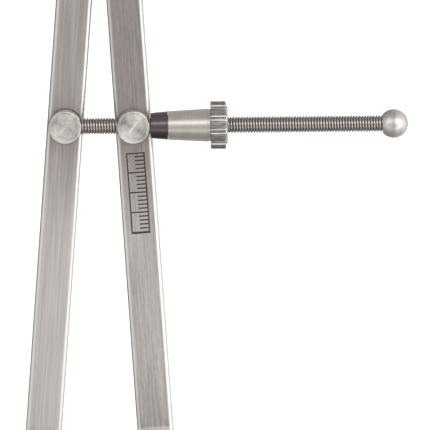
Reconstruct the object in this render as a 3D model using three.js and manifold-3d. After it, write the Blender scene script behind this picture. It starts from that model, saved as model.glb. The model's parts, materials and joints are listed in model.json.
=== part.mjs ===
// Spring divider with a quick-release adjusting nut.
//
// Frame: millimetres, +Z up along the tool's centre line (points down), +X to the right,
// the front of the tool faces -Y. Origin: the centre of the grip's flat top. The pieces are
// designed about the fulcrum (centre of the roller, at half the thickness of the legs) and
// are lowered into the frame at the end. Rest pose: legs slightly open, nut locked and
// close to the right-hand stud.
//
// In names, _R is a radius and _Z a height above the fulcrum.

import * as THREE from 'three';
import { mergeVertices } from 'three/addons/utils/BufferGeometryUtils.js';
import Module from 'manifold-3d';

const wasm = await Module();
wasm.setup();

const DEG = Math.PI / 180;

// ---------------------------------------------------------------- shared dimensions

const HALF_ANGLE = 4.08 * DEG;       // each leg from the centre line at rest
const LEG_WIDTH = 9.07;              // outer face from the centre plane when closed
const LEG_THICK = 4.0;               // along Y
const LEG_BACK = LEG_THICK / 2;      // rear face; the front one is at -LEG_BACK
const RUNNING_GAP = 0.25;            // between the roller and the legs

const BOW_Z = 15.4;                  // centre of the bow spring's ring
const BOW_OUTER_R = 14.0;
const GRIP_TOP_Z = 51.5;

const STUD_X = LEG_WIDTH / 2;        // stud axis in the closed leg
const STUD_Z = -56.0;
const STUD_SHANK_R = 2.4;
const AXIS_Y = -5.45;                // spindle axis, in front of the legs
const SPINDLE_TILT = 0.53 * DEG;     // the spindle rises slightly to the right
const SPINDLE_R = 1.95;
const SPINDLE_START = -2.4;          // left end, from the left stud's axis
const LOCK_PIN_HOLE_R = 0.7;

// ---------------------------------------------------------------- finishes

const NICKEL = 0xb9b5b0;
const STUD_STEEL = 0xc4c0bb;
const SPRING_STEEL = 0x8c8884;

// Fully metallic unless the entry says otherwise.
const FINISH = {
  roller: { color: NICKEL, roughness: 0.3 },
  grip: { color: NICKEL, roughness: 0.34 },
  screw: { color: NICKEL, roughness: 0.32 },
  gripWasher: { color: NICKEL, roughness: 0.32 },
  studWasher: { color: NICKEL, roughness: 0.35 },
  lockPin: { color: NICKEL, roughness: 0.35 },
  bow: { color: SPRING_STEEL, roughness: 0.36 },
  nutSpring: { color: SPRING_STEEL, roughness: 0.35 },
  leg: { color: 0x9a948f, roughness: 0.42 },
  stud: { color: STUD_STEEL, roughness: 0.3 },
  ball: { color: STUD_STEEL, roughness: 0.25 },
  spindle: { color: 0x8a8580, roughness: 0.35 },
  sleeve: { color: 0xa8a39e, roughness: 0.33 },
  jaw: { color: 0xb08d4a, roughness: 0.4 },
  blackened: { color: 0x2c2a29, roughness: 0.45, metalness: 0.6 },
};

// ---------------------------------------------------------------- helpers

// A closed geometry becomes a solid with shared vertices and its faces pointing out.
function solid(geometry) {
  const bare = geometry.clone();
  bare.deleteAttribute('normal');
  bare.deleteAttribute('uv');
  const merged = mergeVertices(bare, 1e-4);
  const points = merged.getAttribute('position').array;
  const corners = merged.index.array;
  const pointAt = (index) => new THREE.Vector3().fromArray(points, 3 * index);
  const triangles = [];
  let volume = 0;
  for (let i = 0; i < corners.length; i += 3) {
    const [first, second, third] = corners.slice(i, i + 3);
    if (first === second || second === third || third === first) continue;
    triangles.push(first, second, third);
    volume += pointAt(first).dot(pointAt(second).cross(pointAt(third))) / 6;
  }
  if (volume < 0) {
    for (let i = 0; i < triangles.length; i += 3) {
      [triangles[i + 1], triangles[i + 2]] = [triangles[i + 2], triangles[i + 1]];
    }
  }
  return new wasm.Manifold(new wasm.Mesh({
    numProp: 3,
    vertProperties: new Float32Array(points),
    triVerts: new Uint32Array(triangles),
  }));
}

function geometryOf(manifold) {
  const source = manifold.getMesh();
  const geometry = new THREE.BufferGeometry();
  const positions = new Float32Array(source.vertProperties);
  geometry.setAttribute('position', new THREE.BufferAttribute(positions, 3));
  geometry.setIndex(Array.from(source.triVerts));
  geometry.computeVertexNormals();
  return geometry;
}

function mesh(name, shape, finish) {
  const material = new THREE.MeshStandardMaterial({ metalness: 1, ...finish });
  const piece = new THREE.Mesh(geometryOf(shape), material);
  piece.name = name;
  return piece;
}

// Turned geometry about Y; profile is [radius, y] pairs.
function latheY(profile, segments) {
  return new THREE.LatheGeometry(profile.map(([r, y]) => new THREE.Vector2(r, y)), segments);
}

// Turned geometry about X; profile is [x, radius] pairs.
function latheX(profile, segments) {
  return latheY(profile.map(([x, r]) => [r, x]), segments).rotateZ(-Math.PI / 2);
}

// Turned geometry about Z; profile is [radius, z] pairs.
function latheZ(profile, segments) {
  return latheY(profile, segments).rotateX(Math.PI / 2);
}

// Profile of a hollow turned shape, brought back to its first point.
function closed(profile) {
  return [...profile, profile[0]];
}

function rodX(radius, x0, x1, y, segments) {
  const rod = new THREE.CylinderGeometry(radius, radius, x1 - x0, segments);
  rod.rotateZ(-Math.PI / 2);
  return solid(rod.translate((x0 + x1) / 2, y, 0));
}

function rodY(radius, y0, y1, x, z, segments) {
  const rod = new THREE.CylinderGeometry(radius, radius, y1 - y0, segments);
  return solid(rod.translate(x, (y0 + y1) / 2, z));
}

function rodZ(radius, z0, z1, y, segments) {
  const rod = new THREE.CylinderGeometry(radius, radius, z1 - z0, segments);
  rod.rotateX(Math.PI / 2);
  return solid(rod.translate(0, y, (z0 + z1) / 2));
}

function box([x0, x1], [y0, y1], [z0, z1]) {
  const block = new THREE.BoxGeometry(x1 - x0, y1 - y0, z1 - z0);
  return solid(block.translate((x0 + x1) / 2, (y0 + y1) / 2, (z0 + z1) / 2));
}

function outline(points) {
  return new THREE.Shape(points.map(([x, y]) => new THREE.Vector2(x, y)));
}

// [x, z] outline drawn out along Y between y0 and y1, with rounded rims if asked.
function plateXZ(points, y0, y1, round = 0) {
  const plate = new THREE.ExtrudeGeometry(outline(points), {
    depth: y1 - y0 - 2 * round,
    steps: 1,
    bevelEnabled: round > 0,
    bevelThickness: round,
    bevelSize: round,
    bevelOffset: -round,
    bevelSegments: 4,
  });
  plate.translate(0, 0, round);
  plate.rotateX(Math.PI / 2);        // shape y becomes z, depth runs towards -y
  return solid(plate.translate(0, y1, 0));
}

// [y, z] outline drawn out along X between x0 and x1.
function plateYZ(points, x0, x1) {
  const plate = new THREE.ExtrudeGeometry(outline(points), {
    depth: x1 - x0, bevelEnabled: false, steps: 1,
  });
  plate.rotateX(Math.PI / 2);
  plate.rotateZ(Math.PI / 2);        // shape x becomes y, depth runs along +x
  return solid(plate.translate(x0, 0, 0));
}

// ---------------------------------------------------------------- legs

const LEG_INNER = 0.02;              // inner face from the centre plane when closed
const LEG_EDGE_R = 1.05;             // rounding of the long edges
const LEG_TOP_Z = 9.4;
const ABOVE_LEG_Z = LEG_TOP_Z + 2;   // where the cutting outlines end
const TAPER_Z = -131.0;              // where the leg starts to get thinner towards its point
const NARROW_Z = -136.0;             // where it starts to narrow
const NEEDLE_Z = -166.0;             // where the slim point starts
const TIP_Z = -178.0;
const TIP_HALF = 0.25;               // half thickness at the tip
const NEEDLE_HALF = 1.15;            // half thickness where the slim point starts
const RELIEF_SLOPE = 0.5;            // inner face above the fulcrum leans out, x per z
const RELIEF_START = 0.35;           // x of the leaning face at the fulcrum
const CUT_MARGIN = 0.02;             // keeps the cutting outlines off the bar's faces

const ROLLER_R = 3.5;
const STUD_BORE_R = STUD_SHANK_R + 0.2;
const NICK = { radius: 1.0, x: 9.35, z: 7.0 };   // where the bow spring bears

// Right leg in its closed position: inner face along the centre plane.
function legSolid() {
  const bar = plateXZ([
    [LEG_INNER, TIP_Z - 1], [LEG_WIDTH, TIP_Z - 1], [LEG_WIDTH, LEG_TOP_Z - 1.6],
    [LEG_WIDTH - 0.5, LEG_TOP_Z - 0.5], [LEG_WIDTH - 1.6, LEG_TOP_Z], [LEG_INNER, LEG_TOP_Z],
  ], -LEG_BACK, LEG_BACK, LEG_EDGE_R);
  // front view: narrowing from the outside only, so that the points meet when closed
  const front = plateXZ([
    [LEG_INNER - 1, TIP_Z - 2], [LEG_INNER + 0.05, TIP_Z], [LEG_INNER + 0.45, TIP_Z + 0.4],
    [2.3, NEEDLE_Z], [LEG_WIDTH + CUT_MARGIN, NARROW_Z], [LEG_WIDTH + 2, ABOVE_LEG_Z],
    [RELIEF_SLOPE * ABOVE_LEG_Z + RELIEF_START, ABOVE_LEG_Z], [RELIEF_START, 0],
    [LEG_INNER, -4], [LEG_INNER, -8], [LEG_INNER - 1, -9],
  ], -LEG_THICK, LEG_THICK);
  // side view: the thickness comes down to the point as well
  const side = plateYZ([
    [-TIP_HALF, TIP_Z - 2], [TIP_HALF, TIP_Z - 2], [TIP_HALF, TIP_Z], [NEEDLE_HALF, NEEDLE_Z],
    [LEG_BACK + CUT_MARGIN, TAPER_Z], [LEG_THICK, ABOVE_LEG_Z], [-LEG_THICK, ABOVE_LEG_Z],
    [-LEG_BACK - CUT_MARGIN, TAPER_Z], [-NEEDLE_HALF, NEEDLE_Z], [-TIP_HALF, TIP_Z],
  ], -2, LEG_WIDTH + 2);
  // the slim point is half round
  const cone = solid(latheZ([
    [0, TIP_Z - 0.2], [TIP_HALF, TIP_Z - 0.2], [2.2, NEEDLE_Z],
    [14, TAPER_Z], [14, LEG_TOP_Z + 3], [0, LEG_TOP_Z + 3],
  ], 32).translate(LEG_INNER, 0, 0));

  const hole = (radius, x, z, segments) => rodY(radius, -LEG_THICK, LEG_THICK, x, z, segments);
  return bar.intersect(front).intersect(side).intersect(cone)
    .subtract(hole(ROLLER_R + RUNNING_GAP, 0, 0, 48))
    .subtract(hole(STUD_BORE_R, STUD_X, STUD_Z, 32))
    .subtract(hole(NICK.radius, NICK.x, NICK.z, 20));
}

// Legs are turned about the fulcrum into the rest pose.
function legGroup(name, shape, angle) {
  const group = new THREE.Group();
  group.rotation.y = angle;
  group.add(mesh(name, shape, FINISH.leg));
  return group;
}

// ---------------------------------------------------------------- head

const FLANGE_R = 5.4;
const FLANGE_THICK = 1.1;
const FLANGE_CHAMFER = 0.35;

const BOW_INNER_R = 12.4;
const BOW_WIDTH = 9.0;               // width of the strip along Y
const BOW_STEPS = 48;                // divisions of the arc
const BOW_END = 33 * DEG;            // free ends, from straight down
const SLOT_END = 45.2 * DEG;         // bottom of the slot that straddles the leg
const SLOT_OVERCUT = 0.2;            // radians the slot cutter runs past the free end
const SLOT_REACH = 18;               // cutter's length from the ring's centre
const SLOT_WIDTH = 4.7;
const BOW_HOLE_R = 1.65;

const GRIP_R = 4.7;
const GRIP_BORE_R = 1.6;
const SADDLE_GAP = 0.12;             // between the grip's foot and the bow
const SCREW_SLOT_HALF = 0.35;        // half width of every screwdriver slot

function rollerSolid() {
  const inner = LEG_BACK + RUNNING_GAP;      // faces of the flanges that look at the legs
  const outer = inner + FLANGE_THICK;
  return solid(latheY([
    [0, -outer], [FLANGE_R - FLANGE_CHAMFER, -outer], [FLANGE_R, -outer + FLANGE_CHAMFER],
    [FLANGE_R, -inner], [ROLLER_R, -inner], [ROLLER_R, inner], [FLANGE_R, inner],
    [FLANGE_R, outer - FLANGE_CHAMFER], [FLANGE_R - FLANGE_CHAMFER, outer], [0, outer],
  ], 48));
}

function bowArc(radius) {
  return Array.from({ length: BOW_STEPS + 1 }, (_, i) => {
    const angle = -Math.PI / 2 + BOW_END + (2 * Math.PI - 2 * BOW_END) * i / BOW_STEPS;
    return [radius * Math.cos(angle), BOW_Z + radius * Math.sin(angle)];
  });
}

function bowSolid() {
  const ring = [...bowArc(BOW_OUTER_R), ...bowArc(BOW_INNER_R).reverse()];
  let bow = plateXZ(ring, -BOW_WIDTH / 2, BOW_WIDTH / 2);
  // slot at each end: a wedge from the ring's centre
  for (const side of [-1, 1]) {
    const reach = (angle) => [
      side * SLOT_REACH * Math.sin(angle), BOW_Z - SLOT_REACH * Math.cos(angle),
    ];
    const wedge = [[0, BOW_Z], reach(BOW_END - SLOT_OVERCUT), reach(SLOT_END)];
    bow = bow.subtract(plateXZ(wedge, -SLOT_WIDTH / 2, SLOT_WIDTH / 2));
  }
  // hole for the grip screw
  return bow.subtract(rodZ(BOW_HOLE_R, 20, 36, 0, 28));
}

function gripSolid() {
  const grip = solid(latheZ([
    [0, 28.0], [4.9, 28.0], [5.1, 28.2], [5.1, 30.9], [4.8, 31.2], [3.2, 32.3], [3.0, 32.8],
    [3.0, 33.4], [3.3, 33.8], [3.9, 33.9], [GRIP_R, 34.6], [GRIP_R, 49.2], [3.9, 49.9],
    [3.4, 50.0], [3.2, 50.2], [3.0, 51.1], [2.5, GRIP_TOP_Z], [0, GRIP_TOP_Z],
  ], 36));
  const saddle = rodY(BOW_OUTER_R + SADDLE_GAP, -8, 8, 0, BOW_Z, 96);
  const bore = solid(latheZ([[0, 20], [GRIP_BORE_R, 20], [GRIP_BORE_R, 40], [0, 41]], 28));
  return grip.subtract(saddle).subtract(bore);
}

// Head inside the bow, shank up into the grip.
function gripScrewSolid() {
  const screw = solid(latheZ([
    [0, 24.7], [2.3, 24.7], [2.6, 25.0], [2.6, 26.45],
    [1.45, 26.45], [1.45, 38.3], [1.1, 38.7], [0, 38.7],
  ], 32));
  return screw.subtract(box([-3, 3], [-SCREW_SLOT_HALF, SCREW_SLOT_HALF], [24, 25.4]));
}

function gripWasherSolid() {
  return solid(latheZ(closed([[1.7, 26.55], [3.3, 26.55], [3.3, 27.2], [1.7, 27.2]]), 32));
}

// ---------------------------------------------------------------- studs, in their own frame
// Stud axis on Y, leg thickness centred on y = 0, spindle axis along X at y = AXIS_Y.

const STUD_R = 4.08;
const STUD_FRONT = -LEG_BACK - 7.0;
const STUD_BASE = -LEG_BACK - 0.15;          // shoulder, just clear of the leg's front face
const STUD_SHANK_END = LEG_BACK + 0.05;
const STUD_SCREW_HOLE_R = 1.3;
const LEFT_BORE_R = SPINDLE_R + 0.1;
const RIGHT_BORE_R = 2.3;
const STUD_WASHER_FRONT = LEG_BACK + 0.15;
const STUD_WASHER_BACK = STUD_WASHER_FRONT + 0.6;
const SCREW_HEAD_FRONT = LEG_BACK + 0.85;

function studBlank() {
  const blank = solid(latheY([
    [0, STUD_FRONT], [STUD_R - 0.3, STUD_FRONT], [STUD_R - 0.08, STUD_FRONT + 0.1],
    [STUD_R, STUD_FRONT + 0.35], [STUD_R, STUD_BASE], [STUD_SHANK_R, STUD_BASE],
    [STUD_SHANK_R, STUD_SHANK_END], [0, STUD_SHANK_END],
  ], 48));
  // hole for the retaining screw, from the back
  return blank.subtract(rodY(STUD_SCREW_HOLE_R, -1.4, STUD_SHANK_END + 2, 0, 0, 24));
}

function leftStudSolid() {
  // the spindle's bore is blind on the left, the pin's hole open below and blind above
  return studBlank()
    .subtract(rodX(LEFT_BORE_R, SPINDLE_START - 0.15, 8, AXIS_Y, 32))
    .subtract(rodZ(LOCK_PIN_HOLE_R, -5.5, 1.7, AXIS_Y, 20));
}

function rightStudSolid() {
  return studBlank().subtract(rodX(RIGHT_BORE_R, -8, 8, AXIS_Y, 32));
}

function studWasherSolid() {
  return solid(latheY(closed([
    [1.4, STUD_WASHER_FRONT], [3.5, STUD_WASHER_FRONT],
    [3.5, STUD_WASHER_BACK], [1.4, STUD_WASHER_BACK],
  ]), 32));
}

function studScrewSolid() {
  const head = SCREW_HEAD_FRONT;
  const screw = solid(latheY([
    [0, -1.2], [0.9, -1.2], [1.15, -0.9], [1.15, head], [2.7, head], [2.7, head + 1.3],
    [2.4, head + 1.6], [0, head + 1.6],
  ], 32));
  const slot = box([-3, 3], [head + 0.9, head + 3], [-SCREW_SLOT_HALF, SCREW_SLOT_HALF]);
  return screw.subtract(slot);
}

// Stud with its washer and screw; side is -1 for the left leg, 1 for the right.
function studGroup(name, shape, side) {
  const cos = Math.cos(HALF_ANGLE);
  const sin = Math.sin(HALF_ANGLE);
  const group = new THREE.Group();
  group.position.set(side * (STUD_X * cos - STUD_Z * sin), 0, STUD_Z * cos + STUD_X * sin);
  group.rotation.y = -SPINDLE_TILT;
  group.add(mesh(name, shape, FINISH.stud));
  group.add(mesh(`${name}_washer`, studWasherSolid(), FINISH.studWasher));
  group.add(mesh(`${name}_screw`, studScrewSolid(), FINISH.screw));
  return group;
}

// ---------------------------------------------------------------- spindle and ball
// Spindle frame: turned about X, with x = 0 on the left stud's axis.

const BALL_R = 3.6;
const BALL_X = 82.0;                 // ball centre
const BALL_FLAT_X = 79.25;           // flat on the ball's left side
const BALL_STEPS = 15;               // divisions of the ball's profile
const BALL_BORE_R = 1.6;
const NECK_R = 1.5;                  // spindle's end inside the ball
const NECK_START = BALL_FLAT_X - 0.12;

function spindleSolid() {
  const spindle = solid(latheX([
    [SPINDLE_START, 0], [SPINDLE_START, SPINDLE_R - 0.3], [SPINDLE_START + 0.3, SPINDLE_R],
    [NECK_START, SPINDLE_R], [NECK_START, NECK_R], [83.4, NECK_R], [83.6, 1.3], [83.6, 0],
  ], 32));
  return spindle.subtract(rodZ(LOCK_PIN_HOLE_R, -4, 4, 0, 20));
}

// Driven in from below, through the spindle.
function lockPinSolid() {
  return solid(latheZ([
    [0, -3.9], [0.45, -3.9], [0.6, -3.75], [0.6, 1.45], [0.4, 1.6], [0, 1.6],
  ], 20));
}

function ballSolid() {
  // half circle from the flat's rim to the right-hand pole
  const sweep = Math.PI - Math.acos((BALL_X - BALL_FLAT_X) / BALL_R);
  const profile = [[BALL_FLAT_X, 0]];
  for (let i = 0; i <= BALL_STEPS; i++) {
    const angle = sweep - sweep * i / BALL_STEPS;
    const radius = i === BALL_STEPS ? 0 : BALL_R * Math.sin(angle);
    profile.push([BALL_X + BALL_R * Math.cos(angle), radius]);
  }
  return solid(latheX(profile, 36)).subtract(rodX(BALL_BORE_R, 70, 83.8, 0, 20));
}

// ---------------------------------------------------------------- quick nut, spindle frame

const BUSH_START = 21.35;
const BUSH_END = 25.65;
const BUSH_START_R = 3.2;
const BUSH_END_R = 3.55;
const BUSH_BORE_R = 2.3;

const CAGE_START = 24.0;
const CAGE_END = 40.6;
const CAGE_INNER_R = 2.2;
const CAGE_OUTER_R = 2.65;

const JAW_START = 29.1;
const JAW_END = 35.0;
const JAW_INNER_R = 2.05;

const SLEEVE_START = 25.72;
const SLEEVE_END = 35.6;             // end of the tapered barrel
const SLEEVE_START_R = 3.58;
const SLEEVE_END_R = 4.13;
const SLEEVE_BORE_R = 2.85;
const RING_START = 36.3;
const RING_END = 40.15;
const RING_R = 6.05;
const RING_CHAMFER = 0.25;

const FLUTES = 11;
const FLUTE_WIDTH = 0.62;
const FLUTE_DEPTH = 0.4;
const FLUTE_LIP = 0.2;
const FLUTE_PHASE = 27.4 * DEG;

const SPRING_WIRE_R = 0.19;
const SPRING_COIL = { start: 36.5, end: 39.2, radius: 3.3, turns: 3.4 };
const END_COIL_SHARE = 0.18;         // share of the wire in each end coil
const END_COIL_RISE = 0.08;          // share of the length each end coil climbs

function thrustBushSolid() {
  return solid(latheX(closed([
    [BUSH_START, BUSH_BORE_R], [BUSH_START, BUSH_START_R - 0.15],
    [BUSH_START + 0.15, BUSH_START_R], [BUSH_END, BUSH_END_R], [BUSH_END, 2.85],
    [23.9, 2.85], [23.9, BUSH_BORE_R],
  ]), 48));
}

function cageSolid() {
  let cage = solid(latheX(closed([
    [CAGE_START, CAGE_INNER_R], [CAGE_START, CAGE_OUTER_R],
    [CAGE_END, CAGE_OUTER_R], [CAGE_END, CAGE_INNER_R],
  ]), 40));
  // two lugs that run in the sleeve's keyways
  for (const lugZ of [[-3.3, -2.4], [2.4, 3.3]]) {
    cage = cage.add(box([35.3, 36.0], [-0.5, 0.5], lugZ));
  }
  // windows for the jaws, above and below
  cage = cage.subtract(box([28.95, 35.15], [-2.1, 2.1], [-4, 4]));
  // nothing stands into the bore
  return cage.subtract(rodX(CAGE_INNER_R, 20, 45, 0, 40));
}

// Half nut, upper one; the lower one is turned half a turn about the spindle.
function jawSolid() {
  const body = solid(latheX(closed([
    [JAW_START, JAW_INNER_R], [JAW_START, 2.75], [JAW_START + 0.15, 2.9], [33.0, 2.9],
    [33.7, 2.45], [JAW_END, 2.45], [JAW_END, JAW_INNER_R],
  ]), 40));
  return body.intersect(box([28, 36], [-1.95, 1.95], [0.3, 4]));
}

// Cutter for one flute of the ring, at an angle about X.
function fluteSolid(angle) {
  // one flank from the bottom outwards: [beyond half the flute's width, radius]
  const flank = [
    [-0.05, RING_R - FLUTE_DEPTH], [0, RING_R - FLUTE_LIP], [0.05, RING_R - FLUTE_LIP * 0.5],
    [0.12, RING_R - FLUTE_LIP * 0.2], [0.25, RING_R + 0.02], [0.25, RING_R + 0.5],
  ].map(([beyond, radius]) => [FLUTE_WIDTH / 2 + beyond, radius]);
  const mirrored = flank.map(([x, radius]) => [-x, radius]).reverse();
  const cutter = new THREE.ExtrudeGeometry(outline([...flank, ...mirrored]), {
    depth: 6, bevelEnabled: false,
  });
  cutter.rotateY(Math.PI / 2);       // depth along x, shape x to -z
  cutter.translate(RING_START - 0.9, 0, 0);
  return solid(cutter.rotateX(angle));
}

function sleeveSolid() {
  let sleeve = solid(latheX(closed([
    // barrel
    [SLEEVE_START, SLEEVE_BORE_R], [SLEEVE_START, SLEEVE_START_R - 0.04],
    [SLEEVE_START + 0.04, SLEEVE_START_R], [SLEEVE_END, SLEEVE_END_R],
    [SLEEVE_END + 0.06, SLEEVE_END_R - 0.1], [RING_START - 0.12, SLEEVE_END_R - 0.1],
    // ring
    [RING_START, SLEEVE_END_R + 0.05], [RING_START, RING_R - RING_CHAMFER],
    [RING_START + RING_CHAMFER, RING_R], [RING_END - RING_CHAMFER, RING_R],
    [RING_END, RING_R - RING_CHAMFER], [RING_END, 4.9],
    [RING_END + 0.25, 4.75], [RING_END + 0.5, 4.3], [RING_END + 0.5, 4.0],
    // inside, back to the left
    [36.2, 4.0], [36.2, 3.0], [32.9, 3.0], [30.9, 3.42], [27.0, 3.42], [26.7, SLEEVE_BORE_R],
  ]), 55));
  for (let i = 0; i < FLUTES; i++) {
    sleeve = sleeve.subtract(fluteSolid(FLUTE_PHASE + (2 * Math.PI * i) / FLUTES));
  }
  // keyways for the cage's lugs
  return sleeve.subtract(box([33.0, 36.4], [-0.65, 0.65], [-3.5, 3.5]));
}

function springSeatSolid() {
  return solid(latheX(closed([
    [39.5, 2.72], [39.5, 3.7], [39.65, 3.8], [40.25, 3.8], [40.4, 3.7], [40.4, 2.72],
  ]), 40));
}

// Centre line of the release spring, with closed and nearly flat end coils.
class SpringCurve extends THREE.Curve {
  getPoint(t, target = new THREE.Vector3()) {
    const { start, end, radius, turns } = SPRING_COIL;
    const middleShare = 1 - 2 * END_COIL_SHARE;
    const middleRise = 1 - 2 * END_COIL_RISE;
    let rise = END_COIL_RISE + middleRise * (t - END_COIL_SHARE) / middleShare;
    if (t < END_COIL_SHARE) rise = END_COIL_RISE * (t / END_COIL_SHARE);
    if (t > 1 - END_COIL_SHARE) rise = 1 - END_COIL_RISE * ((1 - t) / END_COIL_SHARE);
    const angle = 2 * Math.PI * turns * t;
    const x = start + (end - start) * rise;
    return target.set(x, radius * Math.cos(angle), radius * Math.sin(angle));
  }
}

function releaseSpringSolid() {
  const hexagon = Array.from({ length: 6 }, (_, i) => {
    const angle = (2 * Math.PI * i) / 6;
    return [SPRING_WIRE_R * Math.cos(angle), SPRING_WIRE_R * Math.sin(angle)];
  });
  return solid(new THREE.ExtrudeGeometry(outline(hexagon), {
    steps: 64, bevelEnabled: false, extrudePath: new SpringCurve(),
  }));
}

// Spindle with everything that sits on it.
function spindleGroup() {
  const group = new THREE.Group();
  group.position.set(0, AXIS_Y, 0);
  const lowerJaw = mesh('nut_jaw_lower', jawSolid(), FINISH.jaw);
  lowerJaw.rotation.x = Math.PI;
  group.add(
    mesh('spindle', spindleSolid(), FINISH.spindle),
    mesh('spindle_lock_pin', lockPinSolid(), FINISH.lockPin),
    mesh('ball_end', ballSolid(), FINISH.ball),
    mesh('thrust_bush', thrustBushSolid(), FINISH.blackened),
    mesh('nut_cage', cageSolid(), FINISH.nutSpring),
    mesh('nut_jaw_upper', jawSolid(), FINISH.jaw),
    lowerJaw,
    mesh('release_sleeve', sleeveSolid(), FINISH.sleeve),
    mesh('release_spring', releaseSpringSolid(), FINISH.nutSpring),
    mesh('spring_seat_ring', springSeatSolid(), FINISH.nutSpring),
  );
  return group;
}

// ---------------------------------------------------------------- assembly

const rightLeg = legSolid();
const leftLeg = solid(geometryOf(rightLeg).scale(-1, 1, 1));

// the spindle is fixed in the left stud and slides through the right one
const leftStud = studGroup('left_stud', leftStudSolid(), -1);
leftStud.add(spindleGroup());

const compass = new THREE.Group();
compass.add(
  mesh('fulcrum_roller', rollerSolid(), FINISH.roller),
  mesh('bow_spring', bowSolid(), FINISH.bow),
  mesh('grip', gripSolid(), FINISH.grip),
  mesh('grip_screw', gripScrewSolid(), FINISH.screw),
  mesh('grip_washer', gripWasherSolid(), FINISH.gripWasher),
  legGroup('right_leg', rightLeg, -HALF_ANGLE),
  legGroup('left_leg', leftLeg, HALF_ANGLE),
  leftStud,
  studGroup('right_stud', rightStudSolid(), 1),
);

// the frame's origin is the centre of the grip's flat top
compass.position.z = -GRIP_TOP_Z;
const tool = new THREE.Group();
tool.add(compass);

export default tool;
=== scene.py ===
"""Spring divider with a quick-release nut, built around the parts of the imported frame.

Metres in the row frame: +Z up, +X right, the front of the tool faces -Y. The two legs hang from
the fulcrum, the bow spring and the grip stand over it, and the threaded spindle crosses the legs.
"""
import json
import math
from contextlib import contextmanager

import bmesh
import bpy
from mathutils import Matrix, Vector


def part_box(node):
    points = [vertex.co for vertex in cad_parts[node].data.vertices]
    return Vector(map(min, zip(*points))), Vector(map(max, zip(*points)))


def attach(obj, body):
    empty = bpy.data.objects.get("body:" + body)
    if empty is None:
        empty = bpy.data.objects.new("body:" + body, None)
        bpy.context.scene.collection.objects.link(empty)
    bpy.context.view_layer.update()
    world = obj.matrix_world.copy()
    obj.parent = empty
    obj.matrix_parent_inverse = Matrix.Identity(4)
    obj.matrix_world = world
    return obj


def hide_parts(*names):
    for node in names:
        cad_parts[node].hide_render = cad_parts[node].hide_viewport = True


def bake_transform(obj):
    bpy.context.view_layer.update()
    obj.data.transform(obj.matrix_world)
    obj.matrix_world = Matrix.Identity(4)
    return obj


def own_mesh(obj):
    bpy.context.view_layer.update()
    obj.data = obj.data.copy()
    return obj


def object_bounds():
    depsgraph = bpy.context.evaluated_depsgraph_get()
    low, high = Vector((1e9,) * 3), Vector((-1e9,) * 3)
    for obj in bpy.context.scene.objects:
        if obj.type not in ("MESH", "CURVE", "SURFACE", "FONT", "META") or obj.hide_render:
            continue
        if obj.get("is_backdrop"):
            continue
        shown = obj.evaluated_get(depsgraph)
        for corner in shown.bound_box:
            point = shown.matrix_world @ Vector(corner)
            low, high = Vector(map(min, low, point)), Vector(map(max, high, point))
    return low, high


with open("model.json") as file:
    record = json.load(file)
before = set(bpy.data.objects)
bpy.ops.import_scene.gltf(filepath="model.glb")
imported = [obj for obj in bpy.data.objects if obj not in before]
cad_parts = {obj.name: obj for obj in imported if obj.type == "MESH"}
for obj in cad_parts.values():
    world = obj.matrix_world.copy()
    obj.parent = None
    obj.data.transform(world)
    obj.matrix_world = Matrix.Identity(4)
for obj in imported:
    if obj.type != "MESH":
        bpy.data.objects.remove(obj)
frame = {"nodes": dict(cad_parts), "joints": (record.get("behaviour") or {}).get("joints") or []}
cad_lo, cad_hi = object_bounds()
cad_lo, cad_hi = Vector(cad_lo), Vector(cad_hi)

MM = 0.001
nodes = frame["nodes"]
joints = {joint["name"]: joint for joint in frame["joints"]}

# ------------------------------------------------------------------ places read from the frame

fulcrum = Vector(joints["left_leg_swing"]["pos_m"])
left_pivot = Vector(joints["left_stud_swivel"]["pos_m"])
right_pivot = Vector(joints["right_stud_swivel"]["pos_m"])
spindle_origin = Vector(joints["nut_spin"]["pos_m"])    # on the spindle axis, at the left stud
spindle_axis = Vector(joints["nut_spin"]["axis"]).normalized()

LEG_ANGLE = math.radians(4.08)      # each leg from the centre line at rest
LEG_MIDDLE = 4.5 * MM               # middle of a closed leg, from the centre line
KNURL_LOW = 34.7                    # mm above the fulcrum
KNURL_LENGTH = 14.4                 # mm
KNURL_HIGH = KNURL_LOW + KNURL_LENGTH
FLUTES = 11                         # round the release sleeve's ring


def spindle_span(node):
    """How far a node reaches along the spindle, from the left stud's axis."""
    runs = [(Vector(v.co) - spindle_origin).dot(spindle_axis) for v in nodes[node].data.vertices]
    return min(runs), max(runs)


def basis(origin, direction):
    """Origin, unit direction and two unit vectors square to it."""
    ahead = Vector(direction).normalized()
    first = Vector((0, -1, 0)) if abs(ahead.y) < 0.9 else Vector((1, 0, 0))
    first = (first - ahead * first.dot(ahead)).normalized()
    return Vector(origin), ahead, first, ahead.cross(first)


# ------------------------------------------------------------------ node helpers


def operator(kind, swapped=False):
    """A method that makes one Math node."""
    def make(self, *other):
        values = (*other, self) if swapped else (self, *other)
        return self.tree.math(kind, *values)
    return make


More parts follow.
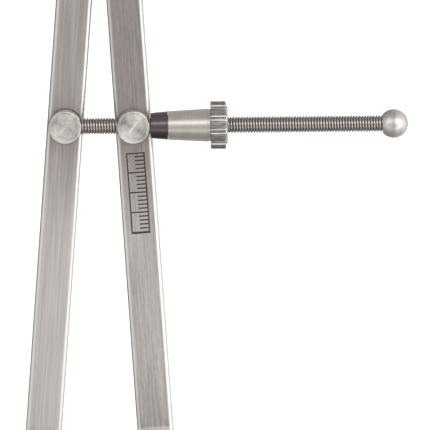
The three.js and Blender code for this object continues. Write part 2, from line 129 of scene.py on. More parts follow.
class Value:
    """A node output. Python's operators on it make Math nodes."""

    __add__, __radd__ = operator("ADD"), operator("ADD", swapped=True)
    __sub__, __rsub__ = operator("SUBTRACT"), operator("SUBTRACT", swapped=True)
    __mul__, __truediv__ = operator("MULTIPLY"), operator("DIVIDE")
    __pow__, __abs__ = operator("POWER"), operator("ABSOLUTE")
    __gt__, __lt__ = operator("GREATER_THAN"), operator("LESS_THAN")

    def __init__(self, tree, socket):
        self.tree, self.socket = tree, socket

    def remap(self, over, to=(0.0, 1.0), kind="LINEAR"):
        """Goes from to[0] to to[1] as the value goes from over[0] to over[1]; clamped."""
        names = "Value", "From Min", "From Max", "To Min", "To Max"
        return self.tree.make("ShaderNodeMapRange", dict(zip(names, (self, *over, *to))),
                              output="Result", clamp=True, interpolation_type=kind)

    def fade(self, over, to=(0.0, 1.0)):
        """remap with soft ends."""
        return self.remap(over, to, kind="SMOOTHSTEP")

    def swing(self, amount):
        """A noise of 0 to 1 as a variation about zero."""
        return (self - 0.5) * amount

    def from_nearest(self, spacing):
        """Distance from the nearest multiple of the spacing, as a share of it."""
        return abs(self.tree.math("FRACT", self / spacing + 0.5) - 0.5)


def srgb(hex_colour):
    """Hex colour to linear."""
    parts = [int(hex_colour[i:i + 2], 16) / 255 for i in (0, 2, 4)]
    return tuple(x / 12.92 if x <= 0.04045 else ((x + 0.055) / 1.055) ** 2.4 for x in parts)


def rgba(colour):
    """A hex string or a linear triple with alpha added; a node output is left as it is."""
    if isinstance(colour, Value):
        return colour
    return (*(srgb(colour) if isinstance(colour, str) else colour), 1)


class Tree:
    """A short way to write shader node trees."""

    def __init__(self, node_tree):
        self.nodes, self.links = node_tree.nodes, node_tree.links
        self.nodes.clear()

    def put(self, socket, value):
        if isinstance(value, Value):
            self.links.new(value.socket, socket)
        else:
            socket.default_value = value

    def make(self, kind, inputs=None, output=0, **props):
        """A new node with its inputs filled; gives one of its outputs."""
        node = self.nodes.new(kind)
        for key, value in props.items():
            setattr(node, key, value)
        for key, value in (inputs or {}).items():
            self.put(node.inputs[key], value)
        return Value(self, node.outputs[output])

    def finish(self, kind, value):
        """The output node of the tree."""
        self.put(self.nodes.new(kind).inputs[0], value)

    def coords(self, kind="Object"):
        return self.make("ShaderNodeTexCoord", output=kind)

    def math(self, kind, *values):
        return self.make("ShaderNodeMath", dict(enumerate(values)), operation=kind)

    def vector(self, *parts):
        return self.make("ShaderNodeCombineXYZ", dict(enumerate(parts)))

    def split(self, vector):
        node = self.nodes.new("ShaderNodeSeparateXYZ")
        self.put(node.inputs[0], vector)
        return [Value(self, output) for output in node.outputs]

    def paint(self, base, colour, amount, blend="MIX"):
        """The base covered with the colour by an amount of 0 to 1."""
        return self.make("ShaderNodeMix", {0: amount, 6: rgba(base), 7: rgba(colour)}, output=2,
                         data_type="RGBA", blend_type=blend, clamp_factor=True)

    def tint(self, base, factor):
        """The base made brighter or darker by a factor."""
        return self.paint(base, self.vector(factor, factor, factor), 1.0, blend="MULTIPLY")

    def mix_values(self, low, high, amount):
        return self.make("ShaderNodeMix", {0: amount, 2: low, 3: high},
                         data_type="FLOAT", clamp_factor=True)

    def noise(self, vector, detail, rough, scale=1.0):
        return self.make("ShaderNodeTexNoise", {"Vector": vector, "Scale": scale,
                                                "Detail": detail, "Roughness": rough})

    def grain(self, *axes, detail, rough):
        """Noise on three axes, each (value, frequency), or a plain number that seeds it."""
        parts = [axis[0] * axis[1] if isinstance(axis, tuple) else axis for axis in axes]
        return self.noise(self.vector(*parts), detail, rough)

    def bump(self, height, distance, strength):
        return self.make("ShaderNodeBump", {"Height": height, "Distance": distance,
                                            "Strength": strength})

    def surface(self, colour, rough, normal=None, metallic=1.0, specular=0.5, aniso=0.0,
                around=None):
        """Principled surface; around is the axis that its brushing runs round."""
        inputs = {"Base Color": colour, "Roughness": rough, "Metallic": metallic,
                  "Specular IOR Level": specular, "Anisotropic": aniso}
        if normal:
            inputs["Normal"] = normal
        if around:
            inputs["Tangent"] = self.make("ShaderNodeTangent", direction_type="RADIAL",
                                          axis=around)
        self.finish("ShaderNodeOutputMaterial", self.make("ShaderNodeBsdfPrincipled", inputs))


def new_material(name):
    made = bpy.data.materials.new(name)
    made.use_nodes = True
    return made, Tree(made.node_tree)


def leg_coords(tree, side):
    """(up the leg from the fulcrum, across it, y) in the leg's own closed frame."""
    x, y, z = tree.split(tree.coords())
    z = z - fulcrum.z
    cosine, sine = math.cos(LEG_ANGLE), side * math.sin(LEG_ANGLE)
    across = x * cosine + z * sine
    run = x * -sine + z * cosine
    return run, across, y


def axis_coords(tree, origin, direction):
    """(run along a line, radius, angle, and the two parts square to the line)."""
    origin, *lines = basis(origin, direction)
    x, y, z = tree.split(tree.coords())
    run, first, second = [x * line.x + y * line.y + z * line.z - origin.dot(line)
                          for line in lines]
    radius = tree.math("SQRT", first * first + second * second)
    return run, radius, tree.math("ARCTAN2", second, first), first, second


# ------------------------------------------------------------------ materials

MID_NOISE = (0.3, 0.7)              # the range that most of a noise lies in


def etched_scale(tree, run, offset, front, fine):
    """Mask of the scale on the leg: a rectangular frame with graduation lines."""
    top, length, half_width = -0.0629, 0.0204, 0.00235
    rim_width = 0.00035
    down = (run - -top if False else run + -top) * -1.0     # 0 at the top of the scale
    aside = abs(offset)

    def window(inset):
        rows = (down > inset) * (down < length - inset)
        return rows * (aside < half_width - inset)

    hollow = window(rim_width)
    rim = window(0.0) - hollow
    # one line a millimetre from just left of the middle to the right; each fifth is full width
    line = down.from_nearest(0.001) < 0.19
    fifth = down.from_nearest(0.005) < 0.06
    short = line * (offset > -0.0002)
    ticks = tree.math("MAXIMUM", short, line * fifth) * hollow
    worn = fine.remap(over=(0.25, 0.75), to=(0.80, 1.0))
    return tree.math("MAXIMUM", rim, ticks) * front * worn


def leg_material(name, side, tones, lighter_over, ground_start, stud_shadow_amount):
    """Flat bar brushed lengthwise, with polished edges; the right leg has an etched scale.

    side is +1 for the right leg. tones are linear colours: at the head, under it, down the leg
    and at the point; the steps between them are painted shading. lighter_over is where the third
    tone comes in, ground_start is where the ground face of the point starts, and the last
    argument is the strength of the painted shadow line round the stud.
    """
    made, tree = new_material(name)
    run, across, y = leg_coords(tree, side)
    seed = 0.37 * side
    middle = LEG_MIDDLE * side

    def brushed(across_rate, run_rate, shift, detail, rough):
        return tree.grain((across, across_rate), (run, run_rate), seed + shift,
                          detail=detail, rough=rough)

    fine = brushed(5200, 55, shift=0, detail=4, rough=0.62)
    medium = brushed(1300, 18, shift=3, detail=3, rough=0.55)
    broad = brushed(170, 26, shift=9, detail=2, rough=0.5)
    scratches = brushed(2600, 620, shift=15, detail=3, rough=0.6)
    coarse_grain = brushed(4200, 160, shift=27, detail=3, rough=0.6)
    drawn = brushed(2600, 7, shift=21, detail=1, rough=0.5)
    tooth = brushed(1500, 40, shift=31, detail=2, rough=0.55)

    # painted shading: the tone steps down the leg, darker just under the head and lighter lower
    # down
    base = tree.paint(tones[0], tones[1], amount=run.fade(over=(-0.044, -0.058)))
    base = tree.paint(base, tones[2], amount=run.fade(over=lighter_over))
    base = tree.paint(base, tones[3], amount=run.fade(over=(-0.115, -0.131)))

    # brushing; the right leg, and the top of the left one, has coarser and shorter scratches
    coarse = 1.0 if side > 0 else run.fade(over=(-0.064, -0.080), to=(0.42, 0.0))
    streak = fine.swing(0.42) + medium.swing(0.20) + broad.swing(0.12)
    streak = streak * (1.0 + tree.math("MULTIPLY", coarse, 0.75))
    streak = streak + coarse_grain.swing(0.50) * coarse + scratches.swing(0.42) * coarse
    base = tree.tint(base, 1.0 + streak)
    # a few longer and darker drawn lines
    base = tree.paint(base, "6E6864", amount=drawn.remap(over=(0.62, 0.74), to=(0.0, 0.12)))

    # the ground face of the point starts with a ragged edge, under dark run-out marks; its
    # lighter tone is partly the ground finish and partly a painted sheen of the tilted face
    ragged = run + tooth.swing(0.0016)
    ground = ragged.remap(over=(ground_start + 0.00015, ground_start - 0.00015))
    marks = tooth.remap(over=(0.44, 0.62)) * run.fade(over=(ground_start + 0.0032, ground_start))
    marks = marks * (1.0 - ground)
    base = tree.paint(base, "6E6864", amount=marks * 0.34)
    ground = ground * run.fade(over=(-0.136, -0.150), to=(0.45, 0.20))
    base = tree.paint(base, "DDD8D4", amount=ground)

    # polished edges: both get lower roughness and a lighter painted sheen, then a painted
    # highlight on the right-hand one and a paler painted highlight on the left-hand one
    edge = abs(across - middle).fade(over=(0.0036, 0.0041))
    base = tree.paint(base, "D2CEC9", amount=edge * 0.5)
    rightward = across - middle
    bright = (rightward.fade(over=(0.0034, 0.0039), to=(0.0, 0.66))
              * rightward.fade(over=(0.00400, 0.00432), to=(1.0, 0.0)))
    if side < 0:
        bright = bright * run.fade(over=(-0.060, -0.085), to=(1.0, 0.3))
    # painted highlight along the right-hand edge
    base = tree.paint(base, "F4F6F4", amount=bright)
    leftward = rightward * -1.0
    pale = (leftward.fade(over=(0.0033, 0.0038), to=(0.0, 0.34))
            * leftward.fade(over=(0.00405, 0.00430), to=(1.0, 0.0)))
    # paler painted highlight along the left-hand edge
    base = tree.paint(base, "F4F6F4", amount=pale)
    rough = fine.remap(over=MID_NOISE, to=(0.30, 0.44)) + edge * -0.10

    # painted shadow: dark line and soft halo round the foot of the stud, 56 mm below the fulcrum
    aside = across - middle
    above = run + 0.056
    foot = tree.math("SQRT", aside * aside + above * above) + broad.swing(0.0002)
    stud_shadow_line = foot.fade(over=(0.00418, 0.00432), to=(stud_shadow_amount, 0.0))
    stud_shadow_halo = foot.fade(over=(0.0042, 0.0056), to=(0.14, 0.0))
    stud_shadow = tree.math("MAXIMUM", stud_shadow_line, stud_shadow_halo) * (y < -0.0012)
    base = tree.paint(base, "3A3532", amount=stud_shadow)
    rough = tree.mix_values(rough, 0.6, amount=stud_shadow_line)

    height = fine * 0.7 + medium * 0.5
    if side > 0:
        mark = etched_scale(tree, run, across - middle, y < -0.00195, fine)
        base = tree.paint(base, "2E2A29", amount=mark)
        rough = tree.mix_values(rough, 0.55, amount=mark)
        height = height - mark * 1.2
    tree.surface(base, rough, tree.bump(height, distance=0.000012, strength=0.6),
                 aniso=0.45, around="Z")
    return made


def stud_material(name, centre, twist, gleam, streak):
    """Turned face with concentric tool marks and a painted fan-shaped sheen.

    twist is the angle of the painted fan, gleam its strength, and streak that of its painted
    bright waist.
    """
    made, tree = new_material(name)
    run, radius, angle, right, up = axis_coords(tree, centre, (0, -1, 0))
    front = run.remap(over=(0.0086, 0.0090))

    # tool marks, slightly out of round, and blots
    wobble = tree.grain((right, 300), (up, 300), 7.0, detail=1, rough=0.5)
    uneven = radius + wobble * 0.00025
    rings = tree.grain((uneven, 7200), (angle, 0.35), 1.3, detail=3, rough=0.6)
    wide_rings = tree.grain((uneven, 2300), (angle, 0.8), 5.1, detail=2, rough=0.55)
    blots = tree.grain((right, 620), (up, 620), 4.0, detail=3, rough=0.6)

    # painted sheen: a fan of lighter and darker sectors across the face
    fan = tree.math("COSINE", (angle - twist) * 2.0)
    fan = tree.math("SIGN", fan) * abs(fan) ** 1.6
    fan = fan * radius.remap(over=(0.0002, 0.0022), to=(0.2, 1.0))
    # painted highlight: the narrow bright waist of the fan across the centre
    cosine, sine = math.cos(twist), math.sin(twist)
    across = abs(right * sine - up * cosine)
    length = abs(right * cosine + up * sine)
    waist = (across.fade(over=(0.00008, 0.00042), to=(1.0, 0.0))
             * length.fade(over=(0.0006, 0.0018), to=(1.0, 0.0)))
    # painted shading: the face is lighter towards its lower left
    lean = right * -14.0 + up * -34.0

    shade = rings.swing(0.48) + blots.swing(1.10) + wide_rings.swing(0.66)
    shade = shade + fan * front * gleam + waist * front * streak + lean * front
    base = tree.tint("C4C0BC", 1.0 + shade)
    # painted shade: a dark line on the side just behind the rim
    lip = (run.remap(over=(0.00840, 0.00848))
           * run.remap(over=(0.00862, 0.00870), to=(1.0, 0.0)))
    base = tree.paint(base, "3C3734", amount=lip * 0.30)

    side_lines = tree.grain((run, 5200), (angle, 0.6), 2.0, detail=2, rough=0.5)
    rough = tree.mix_values(side_lines.remap(over=MID_NOISE, to=(0.22, 0.34)),
                            rings.remap(over=MID_NOISE, to=(0.34, 0.48)), amount=front)
    height = tree.mix_values(side_lines, rings, amount=front)
    tree.surface(base, rough, tree.bump(height, distance=0.00001, strength=0.6),
                 aniso=0.5, around="Y")
    return made


def paint_flutes(tree, base, rough, coords, ring):
    """Fluted ring: satin lands lined along the axis, and painted highlights on the flutes' lips.
    """
    run, radius, angle = coords
    start, phase, count = ring
    inner_radius, lip_radius = 0.0048, 0.006        # the lips are measured along an arc of 6 mm
    zone = (run > start) * (radius > inner_radius)
    drawn = tree.grain((run, 320), (angle, 16), (radius, 900), detail=4, rough=0.65)
    land = tree.tint(base, 0.45 + drawn.swing(1.5))
    base = tree.paint(base, land, amount=zone)
    rough = tree.mix_values(rough, drawn.remap(over=MID_NOISE, to=(0.46, 0.60)), amount=zone)
    step = 2 * math.pi / count
    # the two extra turns keep the angle positive
    away = (angle - (phase - 4 * math.pi)).from_nearest(step) * (step * lip_radius)
    # painted highlight: a bright line along each lip of the flutes
    lip = (away.remap(over=(0.00027, 0.00033))
           * away.remap(over=(0.00056, 0.00064), to=(1.0, 0.0)))
    lip = lip * zone * drawn.remap(over=(0.3, 0.55), to=(0.75, 1.0))
    base = tree.paint(base, "FBF8F5", amount=lip)
    return base, tree.mix_values(rough, 0.38, amount=lip)


def turned_material(name, colour, origin, direction, around, rough, contrast, spot=0.12,
                    metallic=1.0, aniso=0.35, dark=None, dark_span=None, dark_rough=0.6,
                    ring=None, under=None):
    """Bar turned about a line: fine lines round it and small spots.

    contrast and spot are the strengths of the lines and the spots. dark is painted shade in the
    hollows: (radius where it is fully dark, radius where that ends, colour), kept within
    dark_span along the line. ring is (start, phase, count) of a fluted ring. under is the
    brightness of the painted shade on the side on the second cross direction, which is the
    underside of a line along +X.
    """
    made, tree = new_material(name)
    run, radius, angle, first, second = axis_coords(tree, origin, direction)
    lines = tree.grain((run, 5600), (radius, 3000), (angle, 0.4), detail=3, rough=0.6)
    blots = tree.grain((run, 420), (first, 420), (second, 420), detail=3, rough=0.6)
    shade = 1.0 + (lines.swing(contrast) + blots.swing(spot * 2))
    # painted shade: the underside is darkened
    if under:
        shade = shade * second.fade(over=(0.0004, 0.0026), to=(1.0, under))
    base = tree.tint(colour, shade)
    roughness = lines.remap(over=MID_NOISE, to=rough)
    if ring:
        base, roughness = paint_flutes(tree, base, roughness, (run, radius, angle), ring)
    # painted shade: darker in the hollows below a radius, such as thread roots and knurl grooves
    if dark:
        full, end, dark_colour = dark
        depth = radius.fade(over=(full, end), to=(1.0, 0.0))
        if dark_span:
            depth = depth * ((run > dark_span[0]) * (run < dark_span[1]))
        base = tree.paint(base, dark_colour, amount=depth)
        roughness = tree.mix_values(roughness, dark_rough, amount=depth)
    normal = tree.bump(lines + blots * 0.6, distance=0.000008, strength=0.5)
    tree.surface(base, roughness, normal, metallic=metallic, aniso=aniso, around=around)
    return made


def turned_on_spindle(name, colour, **look):
    return turned_material(name, colour, spindle_origin, spindle_axis, around="X", **look)


def turned_to_front(name, colour, centre, **look):
    return turned_material(name, colour, centre, (0, -1, 0), around="Y", **look)


def turned_upright(name, colour, **look):
    return turned_material(name, colour, (0, 0, 0), (0, 0, 1), around="Z", **look)


def strip_material(name):
    """Flat spring steel: fine lines along the strip, slightly straw-coloured in patches."""
    made, tree = new_material(name)
    x, y, z = tree.split(tree.coords())
    fine = tree.grain((x, 120), (y, 5200), (z, 120), detail=4, rough=0.6)
    patches = tree.grain((x, 160), (y, 160), (z, 160), detail=3, rough=0.55)
    base = tree.tint("A5A09B", 1.0 + (fine.swing(0.45) + patches.swing(0.25)))
    base = tree.paint(base, "A4927C", amount=patches.remap(over=(0.55, 0.8), to=(0.0, 0.25)))
    tree.surface(base, fine.remap(over=MID_NOISE, to=(0.26, 0.40)),
                 tree.bump(fine, distance=0.00001, strength=0.5))
    return made


# ------------------------------------------------------------------ mesh helpers


def add_object(name, data):
    made = bpy.data.objects.new(name, data)
    bpy.context.scene.collection.objects.link(made)
    return made


def raw_object(name, verts, faces):
    mesh = bpy.data.meshes.new(name)
    mesh.from_pydata([tuple(v) for v in verts], [], faces)
    return add_object(name, mesh)


@contextmanager
def editing(mesh):
    """A bmesh that is written back with its normals facing out."""
    work = bmesh.new()
    work.from_mesh(mesh)
    yield work
    bmesh.ops.recalc_face_normals(work, faces=work.faces)
    work.to_mesh(mesh)
    work.free()


def new_object(name, verts, faces):
    made = raw_object(name, verts, faces)
    made.data.validate()
    with editing(made.data) as work:
        bmesh.ops.remove_doubles(work, verts=work.verts, dist=1e-8)
        bmesh.ops.dissolve_degenerate(work, dist=1e-8, edges=work.edges)
    return made


def tube_faces(rings, size):
    """Faces of a stack of closed rings of points, with both ends capped."""
    faces = []
    for i in range(rings - 1):
        for j in range(size):
            here, beside = i * size + j, i * size + (j + 1) % size
            faces.append((here, beside, beside + size, here + size))
    faces.append(tuple(range(size)))
    faces.append(tuple((rings - 1) * size + j for j in reversed(range(size))))
    return faces


def smooth(piece, angle, weighted=True):
    mesh = piece.data
    mesh.polygons.foreach_set("use_smooth", [True] * len(mesh.polygons))
    mesh.set_sharp_from_angle(angle=math.radians(angle))
    if weighted:
        modifier = piece.modifiers.new("weighted", "WEIGHTED_NORMAL")
        modifier.keep_sharp = True
        modifier.weight = 60
    mesh.update()


def soften(piece, angle):
    """Smooth shading for a mesh whose triangles share no vertices.

    Each corner's normal is the mean of the faces that meet at that place within the angle.
    No vertex moves.
    """
    mesh = piece.data
    limit = math.cos(math.radians(angle))
    mesh.polygons.foreach_set("use_smooth", [True] * len(mesh.polygons))
    places = [tuple(round(c * 1e7) for c in v.co) for v in mesh.vertices]
    meeting = {}
    for face in mesh.polygons:
        corners = list(face.vertices)
        for i, corner in enumerate(corners):
            centre = mesh.vertices[corner].co
            before = mesh.vertices[corners[i - 1]].co - centre
            after = mesh.vertices[corners[(i + 1) % len(corners)]].co - centre
            weight = face.area * (before.angle(after, 0.0) + 1e-3)
            meeting.setdefault(places[corner], []).append((face.normal.copy(), weight))
    normals = [None] * len(mesh.loops)
    for face in mesh.polygons:
        for loop in face.loop_indices:
            total = Vector((0, 0, 0))
            for other, weight in meeting[places[mesh.loops[loop].vertex_index]]:
                if other.dot(face.normal) > limit:
                    total += other * weight
            normals[loop] = (total if total.length > 0 else face.normal).normalized()
    mesh.normals_split_custom_set([tuple(n) for n in normals])
    mesh.update()


def set_material(piece, material):
    piece.data.materials.clear()
    piece.data.materials.append(material)


def subtract(piece, tools):
    """Cuts the tools out of the piece, then removes them."""
    for tool in tools:
        modifier = piece.modifiers.new("cut", "BOOLEAN")
        modifier.operation, modifier.object, modifier.solver = "DIFFERENCE", tool, "EXACT"
    bpy.context.view_layer.update()
    graph = bpy.context.evaluated_depsgraph_get()
    mesh = bpy.data.meshes.new_from_object(piece.evaluated_get(graph), depsgraph=graph)
    piece.modifiers.clear()
    piece.data = mesh
    for tool in tools:
        tool_mesh = tool.data
        bpy.data.objects.remove(tool)
        bpy.data.meshes.remove(tool_mesh)


# ------------------------------------------------------------------ shapes of the pieces


def threaded_rod(name, start, end, crest, root, pitch, seg=48):
    """Helical thread on the spindle, one skewed sheet that closes on itself, cut square.

    start and end are along the spindle; crest and root are radii.
    """
    origin, ahead, first, second = basis(spindle_origin, spindle_axis)
    # one pitch of the profile, (share of the pitch, radius): crest, sloping flank, rounded root
    profile = [(0.00, crest - 0.04 * MM), (0.05, crest), (0.37, crest), (0.42, crest - 0.04 * MM),
               (0.62, root + 0.05 * MM), (0.67, root), (0.75, root), (0.80, root + 0.05 * MM)]
    size = len(profile)
    rows = (int((end - start) / pitch) + 3) * size
    sheet_start = start - 1.5 * pitch
    verts = []
    for i in range(rows):
        share, radius = profile[i % size]
        for j in range(seg):
            angle = 2 * math.pi * j / seg
            run = sheet_start + (i // size + share + j / seg) * pitch
            verts.append(origin + ahead * run + first * (radius * math.cos(angle))
                         + second * (radius * math.sin(angle)))
    faces = []
    for i in range(rows - 1):
        for j in range(seg):
            here = i * seg + j
            if j + 1 < seg:
                faces.append((here, here + 1, here + seg + 1, here + seg))
            elif i + 1 + size < rows:
                # the seam joins the row one pitch on
                beyond = (i + size) * seg
                faces.append((here, beyond, beyond + seg, here + seg))
    rod = raw_object(name, verts, faces)
    with editing(rod.data) as work:
        for cut, sign in ((start, -1), (end, 1)):
            place = origin + ahead * cut
            bmesh.ops.bisect_plane(work, geom=work.verts[:] + work.edges[:] + work.faces[:],
                                   dist=1e-9, plane_co=place, plane_no=ahead * sign,
                                   clear_outer=True, clear_inner=False)
            rim = [e for e in work.edges if e.is_boundary
                   and all(abs((v.co - place).dot(ahead)) < 1e-7 for v in e.verts)]
            bmesh.ops.contextual_create(work, geom=rim)
    return rod


PLAIN, SADDLE, KNURL = range(3)     # kinds of row in the grip's profile


def grip_profile(top):
    """Rows of (radius, height above the fulcrum, kind) in mm, from the blind end of the bore.

    A SADDLE row follows the top of the bow, and its height is above that.
    """
    rows = [(1.6, 40.0, PLAIN), (1.6, 36.0, PLAIN), (1.6, 0, SADDLE), (3.0, 0, SADDLE),
            (4.4, 0, SADDLE), (4.95, 0, SADDLE), (5.1, 0.12, SADDLE), (5.1, 30.75, PLAIN),
            (5.03, 30.95, PLAIN), (4.8, 31.15, PLAIN)]
    neck_steps = 8
    for i in range(1, neck_steps + 1):
        turn = i / neck_steps * math.pi / 2
        rows.append((4.8 - 1.8 * math.sin(turn), 31.15 + 1.55 * (1 - math.cos(turn)), PLAIN))
    rows += [(3.0, 33.3, PLAIN), (3.08, 33.55, PLAIN), (3.3, 33.75, PLAIN), (3.9, 33.85, PLAIN),
             (4.05, 33.95, PLAIN), (4.62, 34.55, PLAIN)]
    knurl_steps = 116
    for i in range(knurl_steps + 1):
        rows.append((4.7, KNURL_LOW + KNURL_LENGTH * i / knurl_steps, KNURL))
    rows += [(4.62, 49.25, PLAIN), (4.0, 49.85, PLAIN), (3.6, 49.98, PLAIN), (3.38, 50.05, PLAIN),
             (3.25, 50.25, PLAIN), (3.12, 50.8, PLAIN), (2.95, 51.2, PLAIN), (2.65, 51.44, PLAIN),
             (2.45, top, PLAIN), (1.2, top, PLAIN)]
    return rows


def knurled_grip(name, top_z, bow_centre, saddle_radius):
    """Turned about Z, with a diamond knurl cut into the barrel and a saddle foot."""
    seg = 208
    diamonds = 30                           # round the barrel
    pitch = KNURL_LENGTH / 15               # mm, up the barrel
    groove, fade_length = 0.30, 0.25        # mm

    def knurl_depth(angle, height):
        turn = angle * diamonds / (2 * math.pi)
        climb = (height - KNURL_LOW) / pitch
        ridge = min(1 - abs(2 * ((turn + climb) % 1.0) - 1),
                    1 - abs(2 * ((turn - climb) % 1.0) - 1))
        fade = min(1.0, (height - KNURL_LOW) / fade_length, (KNURL_HIGH - height) / fade_length)
        return groove * (1 - min(1.0, ridge * 1.35)) * max(0.0, fade)

    rows = grip_profile((top_z - fulcrum.z) / MM)
    verts = []
    for radius, height, kind in rows:
        for j in range(seg):
            angle = 2 * math.pi * j / seg
            reach = radius
            if kind == KNURL:
                reach -= knurl_depth(angle, height)
            x, y = reach * MM * math.cos(angle), reach * MM * math.sin(angle)
            floor_at = fulcrum.z
            if kind == SADDLE:
                floor_at = bow_centre + math.sqrt(max(saddle_radius * saddle_radius - x * x, 0))
            verts.append((x, y, floor_at + height * MM))
    return new_object(name, verts, tube_faces(len(rows), seg))


def bow_half(name, side, centre_z, outer, inner, half_width):
    """Half of the flat ring, from the seam under the grip to the slotted end over the leg."""
    end_deg, slot_deg = 33.0, 45.2          # strip's end and slot's bottom, from straight down
    slot_half = 2.35 * MM
    edge = 0.28 * MM                        # rounding of the strip's edges
    middle, half_thick = (outer + inner) / 2, (outer - inner) / 2

    # cross-section: (y, distance out from the middle radius)
    wide, thick = half_width - edge, half_thick - edge
    corners = [(wide, thick, 0), (-wide, thick, 90), (-wide, -thick, 180), (wide, -thick, 270)]
    section = []
    for y, out, turn in corners:
        for k in range(4):
            angle = math.radians(turn + 30 * k)
            section.append((y + edge * math.cos(angle), out + edge * math.sin(angle)))

    steps = 84
    verts = []
    for i in range(steps + 1):
        angle = math.radians(90 - (180 - end_deg) * i / steps)
        for y, out in section:
            radius = middle + out
            verts.append((radius * math.cos(angle) * side, y,
                          centre_z + radius * math.sin(angle)))
    half = new_object(name, verts, tube_faces(steps + 1, len(section)))

    # wedge from the bow's centre that cuts the slot, from past the strip's end to its bottom
    wedge_reach = 20 * MM
    triangle = [(0, centre_z)]
    for degrees in (end_deg - 15, slot_deg):
        angle = math.radians(-90 + degrees)
        triangle.append((wedge_reach * math.cos(angle) * side,
                         centre_z + wedge_reach * math.sin(angle)))
    wedge = new_object(name + "_cutter",
                       [(x, y, z) for y in (-slot_half, slot_half) for x, z in triangle],
                       [(0, 1, 2), (3, 5, 4), (0, 3, 4, 1), (1, 4, 5, 2), (2, 5, 3, 0)])

    # upright drill for the hole at the top of the bow
    hole_radius, drill_seg = 1.65 * MM, 40
    drill_verts = []
    for z in (centre_z + inner - 2 * MM, centre_z + outer + 2 * MM):
        for j in range(drill_seg):
            angle = 2 * math.pi * j / drill_seg
            drill_verts.append((hole_radius * math.cos(angle), hole_radius * math.sin(angle), z))
    drill = new_object(name + "_drill", drill_verts, tube_faces(2, drill_seg))
    subtract(half, (wedge, drill))
    return half


def coil(name, start, end, radius, wire, turns, per_turn=40, ring=12):
    """Coil round the spindle; wire is the wire's radius. The end turns lie closer together."""
    origin, ahead, first, second = basis(spindle_origin, spindle_axis)
    end_turns, end_rise = 0.18, 0.08        # share of the turns at each end, and of the length
    steps = int(turns * per_turn)
    verts = []
    for i in range(steps + 1):
        share = i / steps
        if share < end_turns:
            rise = end_rise * share / end_turns
        elif share > 1 - end_turns:
            rise = 1 - end_rise * (1 - share) / end_turns
        else:
            rise = end_rise + (1 - 2 * end_rise) * (share - end_turns) / (1 - 2 * end_turns)
        angle = 2 * math.pi * turns * share
        outward = first * math.cos(angle) + second * math.sin(angle)
        centre = origin + ahead * (start + (end - start) * rise) + outward * radius
        for j in range(ring):
            around = 2 * math.pi * j / ring
            verts.append(centre + outward * (wire * math.cos(around))
                         + ahead * (wire * math.sin(around)))
    return new_object(name, verts, tube_faces(steps + 1, ring))


def flute_ring():
    """(start along the spindle, phase angle, count) of the release sleeve's fluted ring.

    The phase is the mean angle of the mesh's points in the depth of the flutes.
    """
    ring_length, margin = 4.35 * MM, 0.08 * MM
    start = spindle_span("release_sleeve")[1] - ring_length - margin
    _, ahead, first, second = basis(spindle_origin, spindle_axis)
    rim = []
    for vertex in nodes["release_sleeve"].data.vertices:
        place = Vector(vertex.co) - spindle_origin
        run = place.dot(ahead)
        if start + 1.0 * MM < run < start + 4.0 * MM or abs(run - start) < 0.3 * MM:
            out, aside = place.dot(first), place.dot(second)
            rim.append((math.hypot(out, aside), math.atan2(aside, out)))
    outer = max(radius for radius, _ in rim)
    low = [angle * FLUTES for radius, angle in rim
           if outer - 0.50 * MM < radius < outer - 0.34 * MM]
    phase = math.atan2(sum(map(math.sin, low)), sum(map(math.cos, low))) / FLUTES
    return start, phase, FLUTES


# ------------------------------------------------------------------ make the materials

left_leg_steel = leg_material(
    "leg_steel_left", side=-1, lighter_over=(-0.052, -0.090), ground_start=-0.1342,
    stud_shadow_amount=0.80, tones=((0.429, 0.400, 0.385), (0.365, 0.329, 0.319),
                              (0.600, 0.573, 0.561), (0.575, 0.549, 0.538)))
right_leg_steel = leg_material(
    "leg_steel_right", side=1, lighter_over=(-0.058, -0.088), ground_start=-0.1320,
    stud_shadow_amount=0.40, tones=((0.342, 0.309, 0.299), (0.337, 0.305, 0.296),
                              (0.534, 0.511, 0.496), (0.456, 0.432, 0.417)))
left_stud_steel = stud_material("stud_steel_left", left_pivot, twist=math.radians(52),
                                gleam=0.15, streak=0.08)
right_stud_steel = stud_material("stud_steel_right", right_pivot, twist=math.radians(56),
                                 gleam=0.32, streak=0.34)
sleeve_steel = turned_on_spindle("nut_steel", "CCC7C2", rough=(0.22, 0.34), contrast=0.30,
                                 ring=flute_ring())
# under paints shade on the bush's underside
blackened_steel = turned_on_spindle("blackened_steel", "6B6061", rough=(0.12, 0.2), contrast=0.5,
                                    spot=0.25, metallic=0.9, under=0.55)
# dark paints shade into the thread's roots
thread_steel = turned_on_spindle("thread_steel", "B0ABA8", rough=(0.16, 0.23), contrast=0.25,
                                 dark=(0.00160, 0.00190, "8F8682"), dark_rough=0.5)
ball_steel = turned_on_spindle("ball_steel", "C6C2BE", rough=(0.26, 0.34), contrast=0.25,
                               spot=0.14, aniso=0.75)
# dark paints shade into the knurl's grooves
grip_steel = turned_upright("grip_steel", "C3BFBA", rough=(0.22, 0.34), contrast=0.25,
                            dark=(0.00440, 0.00462, "6A6561"),
                            dark_span=(fulcrum.z + (KNURL_LOW - 0.1) * MM,
                                       fulcrum.z + (KNURL_HIGH + 0.1) * MM))
roller_steel = turned_to_front("roller_steel", "C9C5C0", fulcrum, rough=(0.24, 0.36),
                               contrast=0.35)
left_screw_steel = turned_to_front("screw_steel", "B9B5B0", left_pivot, rough=(0.24, 0.38),
                                   contrast=0.3)
right_screw_steel = turned_to_front("screw_steel_right", "B9B5B0", right_pivot,
                                    rough=(0.24, 0.38), contrast=0.3)
bright_steel = turned_upright("bright_steel", "BFBBB6", rough=(0.22, 0.36), contrast=0.3)
spring_steel = strip_material("spring_steel")
core_steel = turned_on_spindle("core_steel", "9A9590", rough=(0.28, 0.4), contrast=0.3)
bronze = turned_on_spindle("bronze", "B98F55", rough=(0.3, 0.42), contrast=0.3)

